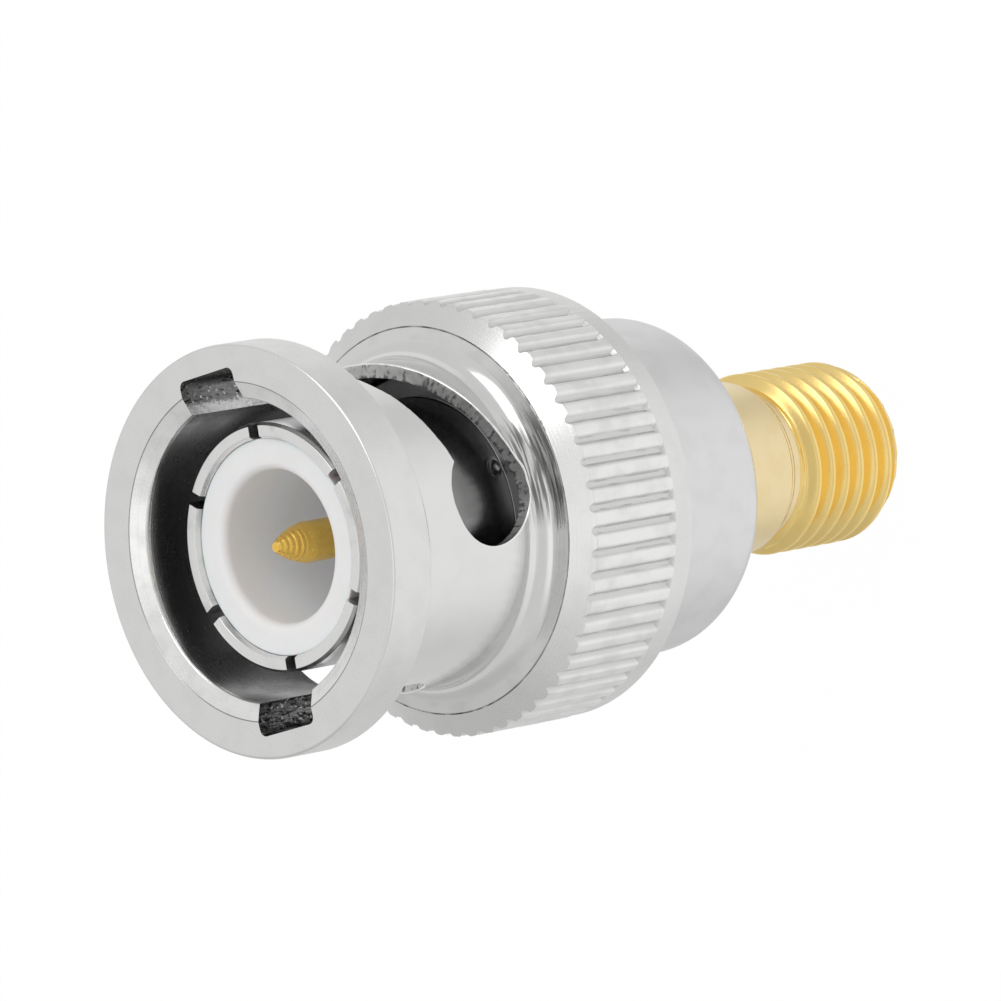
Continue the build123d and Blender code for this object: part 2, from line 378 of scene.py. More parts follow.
@dataclass(frozen=True)
class Milled(Coat):
    """A metal wall left rough by the cutter, with torn streaks, dark patches along them and painted
    shade.
    """

    # Colour of the dark patches and of the painted shade.
    dark: Colour
    roughness: float = 0.38
    keyway: bool = False
    # Colour of the chips and of the painted highlight.
    chips_and_painted_highlight: Colour = (0.70, 0.70, 0.70)
    relief: float = 1.6e-5

    def lay(self, graph: Graph, place: Place) -> tuple[dict, Value, float]:
        """Lay out long scratches stretched through the wall, dark patches, painted shade and, on
        keyways, chips with a painted highlight.
        """
        along, across = (0.8, 3.5) if self.keyway else (3.0, 0.7)
        length = place.turn * WALL_RADIUS
        where = graph.point(length * 3.0, place.depth * along, place.radius * across)
        streak = graph.noise(where, 2.6, 4.0)
        torn = graph.noise(place.point, 5.5, 4.0)
        # Painted shade: the keyway on the -y side is darker, and the cut's walls darken towards the
        # bore.
        if self.keyway:
            inside = (0.0 - place.y).step(0.0, 1.0) * 0.06
        else:
            inside = (5.08 - place.radius).step(0.0, 0.16) * 0.10
        # Dark patches and painted shade together.
        hollow = (streak * 0.6 + torn * 0.4 + inside).step(0.52, 0.64)
        tint = graph.blend(hollow, self.colour, self.dark)
        # Painted highlight: a lighter band on the +y keyway's walls towards the bore; light chip
        # specks on both keyways.
        if self.keyway:
            crumb = graph.noise(place.point, 9.0).step(0.63, 0.68)
            edge = (5.3 + (torn - 0.5) * 0.5 - place.radius).step(0.0, 0.12)
            chips_and_painted_highlight_mask = (edge * place.y.step(-1.0, 1.0)).most(crumb)
            tint = graph.blend(chips_and_painted_highlight_mask, tint, self.chips_and_painted_highlight)
        rough = self.roughness + (torn - 0.5) * 0.3
        inputs = {"Base Color": tint, "Metallic": 1.0, "Roughness": rough}
        return inputs, streak + torn * 0.7, self.relief


@dataclass(frozen=True)
class Waxy(Coat):
    """Smooth white insulator, slightly waxy, with a painted cool tint in its cup."""

    shade: Colour
    painted_cool_tint: Colour = (0.83, 0.87, 0.94)
    roughness: float = 0.42
    relief: float = 2e-6

    def lay(self, graph: Graph, place: Place) -> tuple[dict, Value, float]:
        """Lay out faint turning rings, faint clouds and a soft inner glow."""
        cloud = graph.noise(place.point, 0.9, 3.0)
        rings = graph.noise(place.radius, 11.0) + graph.noise(place.depth, 7.0)
        speck = graph.noise(place.point, 16.0)
        share = cloud.step(0.35, 0.75) * 0.5 + (rings - 1.0) * 0.25
        tint = graph.blend(share, self.colour, self.shade)
        inputs = {
            # Painted cool tint deeper in the cup, against the gold pin's warm bounce light.
            "Base Color": graph.blend(place.depth.step(1.7, 4.0), tint, self.painted_cool_tint),
            "Roughness": self.roughness + (speck - 0.5) * 0.12,
            "Subsurface Weight": 0.20,
            "Subsurface Scale": 0.0006,
            "IOR": 1.38,
        }
        return inputs, rings * 0.5 + speck * 0.3, self.relief


class Finish(Enum):
    """The adapter's finishes."""

    SATIN = Plate(
        "satin_nickel", (0.80, 0.80, 0.79), (0.70, 0.70, 0.69), 0.27, 0.07, 0.5, 0.5, 11.0
    )
    # The neck's and the flank's dark streaks beside the pockets are painted reflection.
    NECK = Plate(
        "polished_neck", (0.79, 0.79, 0.78), (0.73, 0.73, 0.72), 0.14, 0.04, 0.35, 0.12,
        painted_reflection=(0.10, 0.10, 0.10),
    )
    FLANK = Plate(
        "turned_flank", (0.78, 0.78, 0.77), (0.62, 0.62, 0.61), 0.16, 0.05, 1.1, 0.15, 9.0, 0.4,
        painted_reflection=(0.16, 0.16, 0.16),
    )
    # The knurl's grooves get painted shade, darker towards their bottoms.
    CREST = Plate(
        "knurled_nickel", (0.90, 0.90, 0.89), (0.72, 0.72, 0.71), 0.30, 0.08, 0.12, 1.1, 6.0, 0.5,
        painted_shade=(0.70, 0.70, 0.69), painted_shade_from=0.01, painted_shade_to=0.12, by_radius=True,
    )
    # Painted highlight: the mouth's rough lead-in is made brighter than the rim's nickel.
    LIP = Plate("rough_lip_painted_highlight", (0.95, 0.95, 0.94), (0.50, 0.50, 0.50), 0.22, 0.08, 0.3, 1.3, 12.0)
    # Painted shade: the bore's nickel is darkened for the shade inside the sleeve; the flank's
    # turned line and the mouth's score take it too.
    BORE = Plate("bore_painted_shade", (0.46, 0.46, 0.46), (0.20, 0.20, 0.20), 0.24, 0.08, 1.0, 0.5)
    MILLED = Milled("milled_wall", (0.66, 0.66, 0.65), (0.20, 0.20, 0.20))
    # Painted shade: the keyway's nickel is made very dark for the shade in the recess; its
    # scratches are real.
    KEYWAY = Milled(
        "scratched_keyway_painted_shade", (0.24, 0.24, 0.24), (0.03, 0.03, 0.03), 0.30, keyway=True
    )
    # Painted highlight: the rounded outer edges of the cut are made brighter than the nickel beside
    # them.
    BURR = Plate("burr_painted_highlight", (0.95, 0.95, 0.94), (0.86, 0.86, 0.85), 0.22, 0.06, 0.2, 0.8)
    # The fingers get painted shade, darker deeper than about 1.2 mm inside the mouth.
    FINGER = Plate(
        "finger_nickel", (0.84, 0.84, 0.83), (0.72, 0.72, 0.71), 0.24, 0.05, 0.4, 0.12,
        painted_shade=(0.34, 0.34, 0.34), painted_shade_from=1.2, painted_shade_to=1.7,
    )
    SMOOTH = Plate(
        "smooth_nickel", (0.79, 0.79, 0.79), (0.73, 0.73, 0.73), 0.34, 0.06, 0.35, 0.35, 7.0, 0.5
    )
    SPRING = Plate(
        "spring_steel_plain", (0.50, 0.50, 0.51), (0.34, 0.34, 0.35), 0.36, 0.08, 0.3, 0.5
    )
    GOLD = Plate("pale_gold", (0.90, 0.74, 0.44), (0.84, 0.64, 0.30), 0.22, 0.06, 0.5, 0.4)
    THREAD = Plate("thread_gold", (0.98, 0.74, 0.29), (0.93, 0.63, 0.19), 0.24, 0.06, 0.1, 0.4)
    PIN = Plate("pin_gold", (1.0, 0.66, 0.15), (0.94, 0.52, 0.07), 0.26, 0.06, 1.6, 0.3)
    WHITE = Waxy("white_cup", (0.80, 0.797, 0.797), (0.77, 0.767, 0.767))


@cache
def material(finish: Finish) -> bpy.types.Material:
    """Give a finish's material, made once."""
    return finish.value.make()


# ---------------------------------------------------------------- meshes


@dataclass
class Grid:
    """A surface on a grid of rows and columns, in radius, turn about the axis, and depth.

    Each of the three is a full grid, one column, one row or one number.
    """

    radius: Array
    turn: Array
    depth: Array
    finish: Finish | None = None

    def points(self) -> Array:
        """Give the points in metres: x = r cos, y = r sin, z = top less depth."""
        radius, turn, depth = np.broadcast_arrays(self.radius, self.turn, self.depth)
        return np.stack([radius * np.cos(turn), radius * np.sin(turn), TOP - depth], -1) * MM


def swept(outline: Array, turn: Array, finish: Finish | None = None) -> Grid:
    """Turn an outline of radius and depth to the given angles."""
    return Grid(outline[:, :1], turn, outline[:, 1:], finish)


def revolved(outline: Array, columns: int) -> Grid:
    """Turn an outline once round the axis, so that the last column lies on the first."""
    return swept(outline, np.linspace(0, TURN, columns + 1)[None])


def placed(
    name: str, data: bpy.types.ID, turn: Array | None = None, place: Array | None = None
) -> bpy.types.Object:
    """Put a mesh, a light or a camera into the scene.

    Args:
        name: the object's name.
        data: what it shows.
        turn: its axes as columns, if it is turned.
        place: its place in metres, if it isn't at the origin.

    Returns:
        The new object.
    """
    made = bpy.data.objects.new(name, data)
    bpy.context.scene.collection.objects.link(made)
    if turn is not None and place is not None:
        pose = np.eye(4)
        pose[:3, :3], pose[:3, 3] = turn, place
        made.matrix_world = Matrix(pose.tolist())
    return made


@dataclass(frozen=True)
class Shell:
    """A closed piece made of grids that share their borders, with what ties it to the frame.

    It replaces one node and rides on one body. Grids and flat
    walls without a finish of their own get its first one.
    """

    name: str
    node: str
    slot: str
    finishes: tuple[Finish, ...]
    body: str = "adapter"
    crease: float = radians(38)

    def _number(self, finish: Finish | None) -> int:
        """Place of a finish in the piece's list."""
        return self.finishes.index(finish) if finish else 0

    def _soup(self, grids: Iterable[Grid]) -> tuple[Array, Array, Array]:
        """Lay all grids out as loose points and four-sided faces.

        Args:
            grids: the piece's surfaces.

        Returns:
            Points, faces and the number of each face's finish.
        """
        points, faces, numbers = [], [], []
        count = 0
        for grid in grids:
            block = grid.points()
            rows, columns = block.shape[:2]
            index = np.arange(rows * columns).reshape(rows, columns) + count
            corners = (index[:-1, :-1], index[:-1, 1:], index[1:, 1:], index[1:, :-1])
            quads = np.stack([c.ravel() for c in corners], -1)
            points.append(block.reshape(-1, 3))
            faces.append(quads)
            numbers.append(np.full(len(quads), self._number(grid.finish)))
            count += rows * columns
        return np.concatenate(points), np.concatenate(faces), np.concatenate(numbers)

    def build(self, grids: Iterable[Grid], walls: Finish | None = None) -> bpy.types.Object:
        """Write the mesh, dress it and tie it to the frame.

        The borders are joined, the flat walls closed and every face turned outwards.

        Args:
            grids: the piece's surfaces.
            walls: finish of the flat walls that close what the grids leave open.

        Returns:
            The new object, at the origin.
        """
        points, faces, numbers = self._soup(grids)
        mesh = bpy.data.meshes.new(self.name)
        mesh.from_pydata(points.tolist(), [], faces.tolist())
        mesh.polygons.foreach_set("material_index", numbers.astype(np.int32))
        shape = bmesh.new()
        shape.from_mesh(mesh)
        bmesh.ops.remove_doubles(shape, verts=shape.verts, dist=4e-7)
        rims = [edge for edge in shape.edges if edge.is_boundary]
        made = bmesh.ops.holes_fill(shape, edges=rims, sides=0)["faces"] if rims else []
        for wall in made:
            wall.material_index = self._number(walls)
        bmesh.ops.recalc_face_normals(shape, faces=shape.faces)
        still_open = sum(not edge.is_manifold for edge in shape.edges)
        shape.to_mesh(mesh)
        shape.free()
        mesh.polygons.foreach_set("use_smooth", np.ones(len(mesh.polygons), bool))
        mesh.set_sharp_from_angle(angle=self.crease)
        mesh.update()
        count = len(mesh.polygons)
        log.info("%s: %d faces, %d walls, %d open edges", self.name, count, len(made), still_open)
        piece = placed(self.name, mesh)
        for finish in self.finishes:
            mesh.materials.append(material(finish))
        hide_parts(self.node)
        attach(piece, self.body)
        return piece


# ---------------------------------------------------------------- coupling sleeve


@dataclass(frozen=True)
class CamCut:
    """Outline of one keyway, its cam slot and the detent pocket, on a cylinder of any radius.

    Angles run from the keyway's middle towards the pocket. "Back" is how far a line lies behind
    the cut's wall, inside the metal. A half turn's columns lie in four zones: keyway, slot, pocket
    and the plain neck up to the next keyway.
    """

    keyway: float = 1.275
    floor: float = 5.85
    floor_corner: float = 0.25
    start: float = 4.53
    slot: float = 1.3
    slope: float = 0.0216 * 180 / pi
    sweep: float = radians(85)
    pocket: float = 1.66
    pocket_depth: float = 6.0
    pocket_turn: float = radians(89.4)
    zones: tuple[int, int, int] = (56, 180, 243)
    columns: int = 360

    @property
    def numbers(self) -> Array:
        """Numbers of a half turn's columns."""
        return np.arange(self.columns + 1)

    def calm(self, reach: float) -> Array:
        """Grow from 0 at both ends of the half turn to 1 a reach of columns inside."""
        return ease(np.minimum(self.numbers, self.columns - self.numbers) / reach)

    def wall(self, front: bool) -> Callable[..., Array]:
        """Give the method that tells the depth of the front wall or of the rear one."""
        return self.front if front else self.rear

    def keyway_turn(self, radius: Array, back: Array) -> Array:
        """Angle of the keyway's wall: its sine is the half width over the radius."""
        return np.arcsin((self.keyway + back) / radius)

    def line(self, turn: Array) -> Array:
        """Depth of the slot's middle: start plus slope times angle."""
        return self.start + self.slope * turn

    def cusp(self, radius: Array, back: Array) -> Array:
        """Angle where the slot's front wall meets the pocket.

        The wall's depth is put into the pocket's circle, which gives the next angle, eight times.

        Args:
            radius: radius of the cylinder.
            back: distance behind the wall.

        Returns:
            The angle.
        """
        turn = np.full(np.shape(radius), radians(76))
        for _ in range(8):
            rise = self.pocket_depth - (self.line(turn) - self.slot - back)
            aside = np.sqrt((self.pocket + back) ** 2 - rise**2)
            turn = self.pocket_turn - np.arcsin(aside / radius)
        return turn

    def turns(self, radius: Array, back: Array, number: Array) -> Array:
        """Give the angle of each column.

        In the pocket the columns are spread evenly round its circle, so that angle = middle plus
        the arc sine of (pocket radius times the sine of that share) over the radius. In the other
        zones they are spread evenly between the zone's ends.

        Args:
            radius: radius at each column.
            back: distance behind the wall at each column.
            number: the columns' numbers.

        Returns:
            The angles.
        """
        radius, back, number = np.broadcast_arrays(radius, back, np.asarray(number, float))
        first, second, third = self.zones
        wall = self.keyway_turn(radius, back)
        cusp = self.cusp(radius, back)
        size = self.pocket + back
        low = -np.arcsin(np.clip(radius * np.sin(self.pocket_turn - cusp) / size, -1, 1))
        swing = low + (pi / 2 - low) * np.clip((number - second) / (third - second), 0, 1)
        pocket = self.pocket_turn + np.arcsin(size * np.sin(swing) / radius)
        end = self.pocket_turn + np.arcsin(size / radius)
        keyway = wall * (number - first / 2) / (first / 2)
        slot = wall + (cusp - wall) * (number - first) / (second - first)
        plain = end + (pi - wall - end) * (number - third) / (self.columns - third)
        choice = [number <= first, number <= second, number <= third]
        return np.select(choice, [keyway, slot, pocket], plain)

    def joint(self, back: Array, number: Array) -> Array:
        """Depth of the line on the plain neck that joins the pocket's end to the next keyway."""
        share = (number - self.zones[2]) / (self.columns - self.zones[2])
        end = self.start + np.sqrt((self.slot + back) ** 2 - (self.keyway + back) ** 2)
        return self.pocket_depth + (end - self.pocket_depth) * np.clip(share, 0, 1)

    def front(self, turn: Array, radius: Array, back: Array, number: Array) -> Array:
        """Depth of the front wall: the slot's line, then the pocket's circle, then the joint."""
        aside = radius * np.sin(turn - self.pocket_turn)
        circle = self.pocket_depth - half_chord(self.pocket + back, aside)
        choice = [number <= self.zones[1], number < self.zones[2]]
        line = self.line(turn) - self.slot - back
        return np.select(choice, [line, circle], self.joint(back, number))

    def rear(self, turn: Array, radius: Array, back: Array, number: Array) -> Array:
        """Depth of the rear wall: the deepest of start circle, line, end circle and pocket."""
        size = self.slot + back
        begin = self.start + half_chord(size, radius * np.sin(turn))
        line = np.where(turn <= self.sweep, self.line(turn) + size, 0)
        past = radius * np.sin(turn - self.sweep)
        end = np.where(np.abs(past) < size, self.line(self.sweep) + half_chord(size, past), 0)
        chord = half_chord(self.pocket + back, radius * np.sin(turn - self.pocket_turn))
        near = (chord > 0) & (turn > self.pocket_turn - 0.5)
        circle = np.where(near, self.pocket_depth + chord, 0)
        after = np.maximum(np.maximum(line, end), circle)
        choice = [turn < 0, number < self.zones[2]]
        return np.select(choice, [begin, after], self.joint(back, number))

    def floor_radius(self, turn: Array) -> Array:
        """Radius of the keyway's floor, flat with filleted corners.

        On the flat it is the floor's distance over the cosine. In a corner it is where the ray
        meets the fillet's circle.

        Args:
            turn: angle from the keyway's middle.

        Returns:
            The radius.
        """
        x, y = self.floor - self.floor_corner, self.keyway - self.floor_corner
        along = x * np.cos(turn) + y * np.abs(np.sin(turn))
        reach = x * x + y * y - self.floor_corner**2
        fillet = along + np.sqrt(np.clip(along**2 - reach, 0, None))
        flat = self.floor / np.cos(turn)
        return np.where(np.abs(flat * np.sin(turn)) <= y, flat, fillet)


# One grid of the sleeve: radius, angle from the keyway, depth and finish.
Band = tuple[Array | float, Array, Array, Finish]


@dataclass(frozen=True)
class CouplingSleeve:
    """Knurled sleeve with a front rim, two keyways and two cam slots, made as two half turns."""

    half: int = 0
    cut: CamCut = CamCut()
    rim: float = 6.7
    rim_rear: float = 1.66
    rim_slant: float = 1.0
    neck: float = 5.4
    bore: float = 4.925
    mouth: float = 5.45
    mouth_depth: float = 0.25
    cove_front: float = 7.4
    cove: float = 0.75
    cove_turn: float = radians(75)
    cone: tuple[float, float] = (6.4, 8.245)
    crest: float = CREST_RADIUS
    crest_front: float = 8.72
    crest_rear: float = 12.45
    groove: float = 0.15
    crown: float = 0.010
    flat: float = 0.45
    flank: tuple[float, float] = (0.20, 1.06)
    teeth: int = 60
    ring: float = 7.15
    rear: float = 13.45
    rear_chamfer: float = 0.25
    shoulder: float = 9.0
    counterbore: float = 6.0
    snap: tuple[float, float, float] = (6.42, 11.7, 12.3)
    edge: float = 0.045
    burr: float = 0.012
    rim_band: float = 0.3
    lip_drop: float = 0.2
    foot: float = 0.1

    def build(self) -> bpy.types.Object:
        """Build the sleeve from two half turns and tie it to the frame."""
        finishes = (
            Finish.SATIN, Finish.MILLED, Finish.BORE, Finish.CREST, Finish.NECK, Finish.FLANK,
            Finish.LIP, Finish.KEYWAY, Finish.BURR,
        )
        shell = Shell(
            "sleeve_with_cam_slots", "coupling_sleeve", "nickel_satin", finishes, "sleeve"
        )
        halves = (replace(self, half=half) for half in (0, 1))
        return shell.build((grid for half in halves for grid in half._grids()), Finish.KEYWAY)

    @property
    def origin(self) -> float:
        """Place of this half's keyway about the axis: +Y, and -Y for the second."""
        return pi / 2 - self.half * pi

    @property
    def even(self) -> Array:
        """Angles of evenly spread columns, half a degree apart."""
        return radians(-14) + radians(0.5) * self.cut.numbers

    def _crease(self) -> tuple[float, float]:
        """Radius and depth where the cove ends and the cone starts."""
        return (
            self.neck + self.cove * (1 - np.cos(self.cove_turn)),
            self.cove_front + self.cove * np.sin(self.cove_turn),
        )

    def _outside(self, depth: Array) -> Array:
        """Radius of the neck and cove: a quarter circle's sagitta past the cove's front."""
        share = np.clip((depth - self.cove_front) / self.cove, 0, 0.999)
        return self.neck + self.cove * (1 - np.sqrt(1 - share**2))

    def _along(self, length: Array) -> tuple[Array, Array]:
        """Follow the neck and cove by length from the cove's front.

        Before it the neck is straight. After it the angle is length over the cove's radius, and
        the place is radius + cove (1 - cos angle), front + cove sin angle.

        Args:
            length: length past the cove's front, negative on the neck.

        Returns:
            Radius and depth.
        """
        angle = np.maximum(length, 0) / self.cove
        depth = self.cove_front + np.where(length < 0, length, self.cove * np.sin(angle))
        return self.neck + self.cove * (1 - np.cos(angle)), depth

    def _tooth(self, model_turn: Array) -> Array:
        """Radius of the knurl: flat crests, and grooves whose flanks ease in and out."""
        phase = np.abs(((model_turn * self.teeth / TURN + 0.5) % 1.0) - 0.5) * 2
        flat = self.flat * self.teeth / (TURN * self.crest)
        share = np.clip((phase - flat + self.flank[0]) / (self.flank[1] - flat), 0, 1)
        return self.crest - self.groove * ease(share) - self.crown * phase**2

    def _grids(self) -> Iterator[Grid]:
        """Yield the grids of this half turn, all placed from its keyway."""
        for part in (self._rear_shell(), self._front_shell(), self._rim_ring(), self._walls()):
            for radius, turn, depth, finish in part:
                yield Grid(radius, self.origin - turn, depth, finish)

    def _rough(self, salt: int) -> Array:
        """Burr along an edge of the cut: a random line that dies out at the zones' ends.

        Args:
            salt: makes another line.

        Returns:
            One offset for each column.
        """
        number = self.cut.numbers
        first, _, third = self.cut.zones
        fine = ripple(len(number), 1.2, 11 * self.half + salt)
        coarse = ripple(len(number), 5.0, 7 * self.half + salt + 3)
        near = np.minimum(np.abs(number - first), np.minimum(np.abs(number - third), number))
        return self.burr * (0.6 * fine + 0.6 * coarse) * ease(near / 6) * (number < third)

    def _edge(self, front: bool, share: float) -> tuple[Array, Array, Array]:
        """Place one line of the rounded outer edge of the cut.

        The rounding is a quarter circle: back = edge (1 - sin a) and drop = edge (1 - cos a).

        Args:
            front: front or rear wall.
            share: 0 on the outside, 1 on the wall.

        Returns:
            Radius, angle and depth at each column.
        """
        number = self.cut.numbers
        angle = share * pi / 2
        back = self.edge * (1 - np.sin(angle))
        depth_of = self.cut.wall(front)
        radius = np.full(len(number), self.neck)
        for _ in range(8):
            turn = self.cut.turns(radius, self.edge, number)
            radius = self._outside(depth_of(turn, radius, self.edge, number))
        radius = radius - self.edge * (1 - np.cos(angle))
        turn = self.cut.turns(radius, back, number)
        depth = depth_of(turn, radius, back, number)
        rough = self._rough(1 if front else 2) * np.cos(angle) * (-1 if front else 1)
        lift = self._rough(4 if front else 5) * 0.5 * (1 - share)
        return radius + lift, turn, depth + rough * 0.8

    def _inner(self, front: bool) -> tuple[Array, Array]:
        """Angle and depth of the cut's sharp edge on the bore."""
        turn = self.cut.turns(self.bore, 0.0, self.cut.numbers)
        return turn, self.cut.wall(front)(turn, self.bore, 0.0, self.cut.numbers)

    def _rear_shell(self) -> Iterator[Band]:
        """Yield everything behind the cut, outside first and bore last."""
        yield self._cove()
        yield from self._cone()
        yield from self._knurl()
        outline = rounded(
            (self.ring, self.crest_rear),
            (self.ring, self.rear - self.rear_chamfer, 0.04),
            (self.ring - self.rear_chamfer, self.rear, 0.04),
            (self.counterbore, self.rear, 0.05),
            (self.counterbore, self.snap[2]),
            (self.snap[0], self.snap[2]),
            (self.snap[0], self.snap[1]),
            (self.counterbore, self.snap[1]),
            (self.counterbore, self.shoulder),
            (self.bore, self.shoulder),
            steps=2,
        )
        yield outline[:, :1], self.even, outline[:, 1:], Finish.SATIN
        inner_turn, inner_depth = self._inner(False)
        shares = np.array([0, 0.15, 0.4, 0.7, 0.9, 1.0])
        turn = between(self.even, inner_turn, ease(shares))
        # The bore behind the cut has the bore's painted shade.
        yield self.bore, turn, between(self.shoulder, inner_depth, shares), Finish.BORE

    def _cove(self) -> Band:
        """Lay the neck and the cove behind the cut."""
        edge_radius, edge_turn, edge_depth = self._edge(False, 0)
        near = [0, 0.01, 0.03, 0.07, 0.13, 0.2, 0.28, 0.36, 0.44]
        shares = np.concatenate([near, np.linspace(0.51, 1.0, 12)])
        past = edge_depth - self.cove_front
        bend = self.cove * np.arcsin(np.clip(past / self.cove, 0, 0.999))
        start = np.where(past < 0, past, bend)
        radius, depth = self._along(between(start, self.cove * self.cove_turn, shares))
        radius[0], depth[0] = edge_radius, edge_depth
        radius[-1], depth[-1] = self._crease()
        return radius, between(edge_turn, self.even, ease(shares)), depth, Finish.NECK

    def _cone(self) -> Iterator[Band]:
        """Yield the flank behind the cove, straight at first, then sunk into a turned line."""
        wave = ripple(len(self.even), 1.6, 51 + self.half) * self.cut.calm(4)
        line = np.array([0, 1.0, 0.6, 0])[:, None] * (0.030 + 0.012 * wave)
        for shares, sink, finish in (
            ([0, 0.06, 0.7, 0.86, 0.88], 0.0, Finish.FLANK),
            # The turned line takes the bore's painted shade.
            ([0.88, 0.91, 0.95, 1.0], line, Finish.BORE),
        ):
            radius, depth = (between(a, b, shares) for a, b in zip(self._crease(), self.cone))
            radius, depth = radius + 0.3 * sink * (sink > 0), depth + np.maximum(sink, 0)
            yield radius, self.even, depth, finish

    def _knurl(self) -> Iterator[Band]:
        """Yield the knurl's slanted front, its band and the slanted ends of its grooves."""
        even, count = self.even, len(self.even)
        tooth = self._tooth(self.origin - even)
        cone_radius, cone_depth = self.cone
        share = (tooth - cone_radius) / (self.crest - cone_radius)
        share = share + 0.012 * ripple(count, 1.0, 31 + self.half) * self.cut.calm(4)
        front = cone_radius + (self.crest - cone_radius) * share
        begin = cone_depth + (self.crest_front - cone_depth) * share
        shares = [0, 0.06, 0.7, 0.93, 1.0]
        radius, depth = between(cone_radius, front, shares), between(cone_depth, begin, shares)
        yield radius, even, depth, Finish.SATIN
        stop = self.crest_rear - np.maximum(self.ring - tooth, 0.0) * 0.9 - 0.02
        shares = [0, 0.006, 0.014, 0.025, 0.045, 0.08, 0.14, 0.22]
        shares += [0.32, 0.44, 0.56, 0.68, 0.8, 0.9, 0.97, 1.0]
        depth = between(begin, stop, shares)
        radius = np.tile(tooth, (len(shares), 1))
        for row in range(1, len(shares) - 1):
            radius[row] += 0.006 * ripple(count, 1.2, 97 * row + self.half) * self.cut.calm(5)
        radius -= 0.06 * np.exp(-(depth - begin) / 0.10) * ease((depth - begin) / 0.02)
        radius[0] = front
        yield radius, even, depth, Finish.CREST
        shares = [0, 0.2, 0.8, 1.0]
        radius, depth = between(tooth, self.ring, shares), between(stop, self.crest_rear, shares)
        yield radius, even, depth, Finish.CREST

    def _rim_turns(self, radius: Array, back: Array) -> Array:
        """Spread the columns outside the keyway evenly between its wall and the next keyway's."""
        number = np.arange(self.cut.zones[0], self.cut.columns + 1)
        wall = self.cut.keyway_turn(radius, back)
        share = (number - number[0]) / (number[-1] - number[0])
        return wall + (pi - 2 * wall) * share

    def _back(self, radius: Array) -> Array:
        """Depth of the rim's slanted back: it lies deeper towards the neck."""
        return self.rim_rear + self.rim_slant * np.clip(self.rim - 0.06 - radius, 0, None)

    def _corner(self) -> float:
        """Radius at which the keyway's wall meets its filleted floor."""
        return float(np.hypot(self.cut.floor - self.cut.floor_corner, self.cut.keyway))

    def _front_shell(self) -> Iterator[Band]:
        """Yield the neck in front of the cut, the rim's inner faces, the mouth and the bore."""
        first = self.cut.zones[0]
        corner = self._corner()
        foot = float(self._back(np.array(self.neck)))
        face = rounded(
            (corner, float(self._back(np.array(corner)))),
            (self.neck, foot, self.foot),
            (self.neck, foot + self.foot),
        )
        yield self._faced(face, Finish.SATIN)
        radius, turn, depth, back = self._neck()
        yield radius, turn, depth, Finish.NECK
        for side in (0, -1):
            yield self._keyway_edge(depth[:, side], back[:, side], side)
        mouth, bottom = self.mouth, self.mouth_depth + self.lip_drop
        score = np.array(
            [[corner, 0.0], [mouth + 0.05, 0.0], [mouth + 0.03, 0.02], [mouth + 0.01, 0.01]]
        )
        lip = rounded(
            (mouth + 0.01, 0.01), (self.bore, self.mouth_depth, 0.08), (self.bore, bottom)
        )
        yield self._faced(score[:2], Finish.SATIN)
        # The score takes the bore's painted shade.
        yield self._faced(score[1:], Finish.BORE)
        # The lead-in takes the painted highlight.
        yield self._faced(lip, Finish.LIP)
        inner_turn, inner_depth = (row[first:] for row in self._inner(True))
        shares = np.array([0, 0.1, 0.3, 0.5, 0.7, 0.9, 1.0])
        turn = between(self._rim_turns(self.bore, 0.0), inner_turn, ease(shares))
        # The bore in front of the cut has the bore's painted shade.
        yield self.bore, turn, between(bottom, inner_depth, shares), Finish.BORE

    def _faced(self, outline: Array, finish: Finish) -> Band:
        """Turn an outline from the keyway's wall round to the next keyway's."""
        return outline[:, :1], self._rim_turns(outline[:, :1], 0.0), outline[:, 1:], finish

    def _neck(self) -> tuple[Array, Array, Array, Array]:
        """Lay out the neck from the rim's rear face to the cut's front edge.

        Returns:
            Radius, angle, depth, and distance behind the cut's wall.
        """
        first = self.cut.zones[0]
        number = np.arange(first, self.cut.columns + 1)
        edge_radius, edge_turn, edge_depth = (row[first:] for row in self._edge(True, 0))
        shares = np.array([0, 0.05, 0.12, 0.2, 0.3, 0.45, 0.6, 0.75, 0.86, 0.93, 0.975, 1.0])
        top = float(self._back(np.array(self.neck))) + self.foot
        depth = between(top, edge_depth, shares)
        back = self.edge * ease((depth - top) / self.foot)
        plain = np.stack([self._rim_turns(self.neck, row[0]) for row in back])
        fitted = self.cut.turns(self.neck, back, number)
        weight = ease(shares)[:, None]
        turn = plain * (1 - weight) + fitted * weight
        turn[:, 0] = self.cut.keyway_turn(self.neck, back[:, 0])
        turn[:, -1] = pi - self.cut.keyway_turn(self.neck, back[:, -1])
        radius = np.full_like(depth, self.neck)
        radius[-1], turn[-1] = edge_radius, edge_turn
        return radius, turn, depth, back

    def _keyway_edge(self, depth: Array, back: Array, side: int) -> Band:
        """Lay the rounded edge where the keyway's wall meets the neck.

        Args:
            depth: depths of the neck's rows at this wall.
            back: the rounding's size at each of them.
            side: 0 for the slot's side, -1 for the far side.

        Returns:
            The edge.
        """
        shares = np.linspace(0, 1, 5)
        column = self.cut.zones[0] if side == 0 else self.cut.columns
        ends = [[part[column] for part in self._edge(True, share)] for share in shares]
        end_radius, end_turn, end_depth = np.array(ends).T
        angle = shares * pi / 2
        drop = back[:, None] * (1 - np.cos(angle))
        behind = back[:, None] * (1 - np.sin(angle))
        radius = self.neck - drop
        wall = self.cut.keyway_turn(radius, behind)
        turn = wall if side == 0 else pi - wall
        share = ((depth - depth[0]) / (depth[-1] - depth[0]))[:, None]
        laid = depth[:, None] + share * (end_depth - end_depth[0])
        radius[-1], turn[-1] = end_radius, end_turn
        return radius, turn, laid, Finish.MILLED

